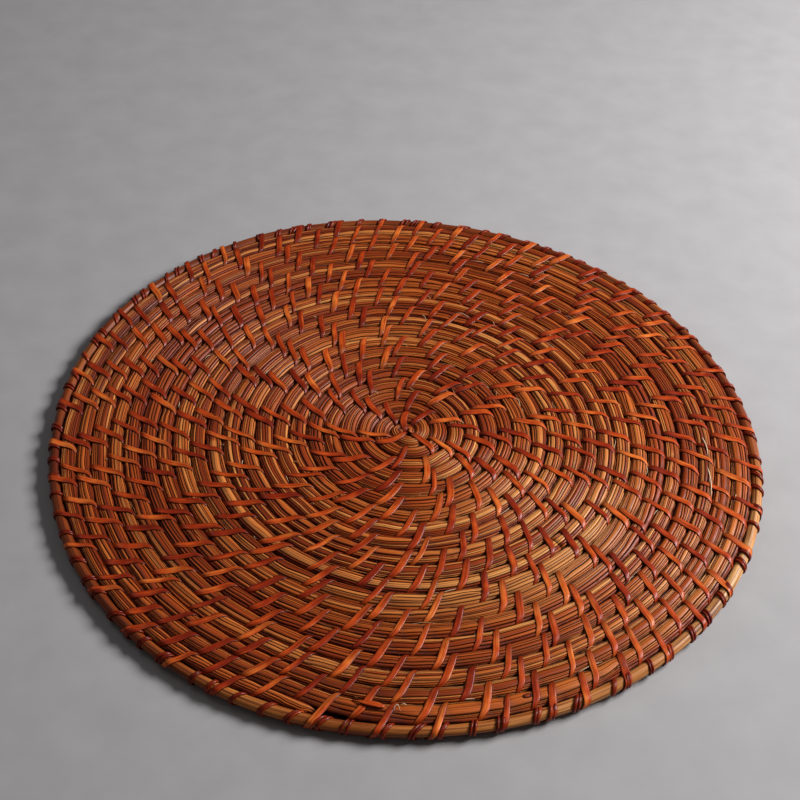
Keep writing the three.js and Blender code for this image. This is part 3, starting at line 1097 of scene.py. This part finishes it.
def peel_material():
    n = Nodes("cane_peel")
    tone, way, edge = n.layer("tone"), n.layer("way"), n.layer("edge")
    fine = n.grain(stretch=30, scale=1500)
    coarse = n.grain(stretch=18, scale=620, detail=3.0)
    blotch = n.grain(stretch=1.5, scale=190, detail=2.0)
    mixed = n.weighted(tone, 0.32, coarse, 0.5)
    mixed = n.math("ADD", mixed, n.math("MULTIPLY", n.math("SUBTRACT", blotch, 0.37), 0.6))
    body = n.ramp(mixed, PEEL_COLOURS)
    streaked = n.mix(n.span(fine, 0.54, 0.34, 0.0, 0.65), body, PEEL_STREAK)
    # Painted shade: the strips darken towards both ends, where they dive between bundles
    end_shade = n.mix(n.span(way, 0.52, 0.95, 0.0, 0.85), streaked, PEEL_END_SHADE)
    start_shade = n.mix(n.span(way, 0.22, 0.02, 0.0, 0.8), end_shade, PEEL_START_SHADE)
    # Painted shade along the strips' sides and underside; the wraps, whose edge value is even, get
    # their own darker tone from it
    colour = n.mix(n.span(edge, 0.2, 0.9, 0.0, 0.9), start_shade, PEEL_EDGE_SHADE_AND_WRAP_TONE)
    roughness = n.span(fine, 0.2, 0.8, 0.34, 0.5)
    height = n.weighted(fine, 0.5, coarse, 0.7)
    return n.finish(colour, roughness, height, depth=0.00028, gloss=0.16, coat=0.12)


def fibre_material():
    n = Nodes("fibre")
    fine = n.grain(stretch=20, scale=2600)
    mixed = n.weighted(n.layer("tone"), 0.8, fine, 0.3)
    colour = n.ramp(mixed, FIBRE_COLOURS)
    roughness = n.span(fine, 0.2, 0.8, 0.4, 0.6)
    return n.finish(colour, roughness, fine, depth=0.00004, gloss=0.3)


def reed_material():
    n = Nodes("whole_reed")
    tone = n.layer("tone")
    fine = n.grain(stretch=60, scale=1800)
    coarse = n.grain(stretch=40, scale=640, detail=3.0)
    patch = n.grain(stretch=3, scale=34, detail=2.0)
    spread = n.math("MULTIPLY", n.math("SUBTRACT", patch, 0.2), 1.1)
    mixed = n.math("ADD", n.math("MULTIPLY", tone, 0.52), spread)
    body = n.ramp(mixed, REED_COLOURS)
    streaked = n.mix(n.span(fine, 0.54, 0.34, 0.0, 0.75), body, REED_STREAK)
    colour = n.mix(n.span(coarse, 0.5, 0.36, 0.0, 0.85), streaked, REED_STAIN)
    roughness = n.span(fine, 0.2, 0.8, 0.34, 0.55)
    height = n.weighted(fine, 0.5, coarse, 0.9)
    return n.finish(colour, roughness, height, depth=0.00025, gloss=0.22, coat=0.05)


def floor_material():
    n = Nodes("plain_floor")
    noise = n.add("ShaderNodeTexNoise", [("Scale", 300.0), ("Detail", 3.0)]).outputs["Fac"]
    colour = n.mix(n.span(noise, 0.3, 0.7), FLOOR_DARK, FLOOR_PALE)
    roughness = n.span(noise, 0.3, 0.7, 0.75, 0.9)
    return n.finish(colour, roughness, noise, depth=0.00002, gloss=0.2)


# The studio


def add_camera():
    """The photograph's view, found from the mat's outline before its middle was moved."""
    shift = Vector((-MIDDLE_X, -MIDDLE_Y, 0))
    at = Vector((0, -math.cos(CAMERA_ELEVATION), math.sin(CAMERA_ELEVATION)))
    at = at * CAMERA_DISTANCE + shift
    forward = (Vector(CAMERA_TARGET) + shift - at).normalized()
    right = forward.cross(Vector((0, 0, 1))).normalized()
    up = right.cross(forward)
    c, s = math.cos(CAMERA_ROLL), math.sin(CAMERA_ROLL)
    right, up = right * c + up * s, up * c - right * s
    data = bpy.data.cameras.new("view")
    data.sensor_width = SENSOR
    data.lens = FOCAL_PIXELS / PHOTO_WIDTH * SENSOR
    data.clip_start = 0.01
    camera = bpy.data.objects.new("view", data)
    turned = Matrix((right, up, -forward)).transposed().to_4x4()
    camera.matrix_world = Matrix.Translation(at * MM) @ turned
    bpy.context.scene.collection.objects.link(camera)
    bpy.context.scene.camera = camera


def add_light(name, azimuth, elevation, distance, size, power):
    data = bpy.data.lights.new(name, "AREA")
    data.shape = "RECTANGLE"
    data.size, data.size_y = size
    data.energy = power
    light = bpy.data.objects.new(name, data)
    a, e = math.radians(azimuth), math.radians(elevation)
    at = Vector((math.cos(a) * math.cos(e), math.sin(a) * math.cos(e), math.sin(e))) * distance
    light.location = at
    light.rotation_euler = (-at).to_track_quat("-Z", "Y").to_euler()
    bpy.context.scene.collection.objects.link(light)


def add_studio():
    for name, values in LIGHTS.items():
        add_light(name, *values)
    world = bpy.data.worlds.new("studio")
    world.use_nodes = True
    around = world.node_tree.nodes["Background"].inputs
    around["Color"].default_value = AROUND_COLOUR
    around["Strength"].default_value = AROUND_STRENGTH
    bpy.context.scene.world = world
    bpy.context.scene.view_settings.view_transform = "Standard"
    mesh = bpy.data.meshes.new("floor")
    corners = [(x * FLOOR_REACH, y * FLOOR_REACH, 0) for x, y in ((-1, -1), (1, -1), (1, 1), (-1, 1))]
    mesh.from_pydata(corners, [], [(0, 1, 2, 3)])
    floor = bpy.data.objects.new("floor", mesh)
    mesh.materials.append(floor_material())
    bpy.context.scene.collection.objects.link(floor)


def main():
    add_camera()
    add_studio()
    rng = np.random.default_rng(SEED)
    strand_look, peel_look, reed_look = strand_material(), peel_material(), reed_material()
    turns = sew(rng)
    reach = usual_reach(turns) + rng.normal(0, REACH_SPREAD, len(turns))
    crossing = crossings(turns, reach)
    core = add_core(strand_look)
    on_core = add_strands(rng, crossing, strand_look)
    on_core += add_stitches(rng, turns, reach, peel_look)
    on_core.append(add_edge_reed(reed_look))
    on_core.append(add_wraps(rng, peel_look))
    on_core.append(add_fibres(rng, fibre_material()))
    on_core.append(add_strip_tail(peel_look))
    on_core.append(add_knot(strand_look))


main()
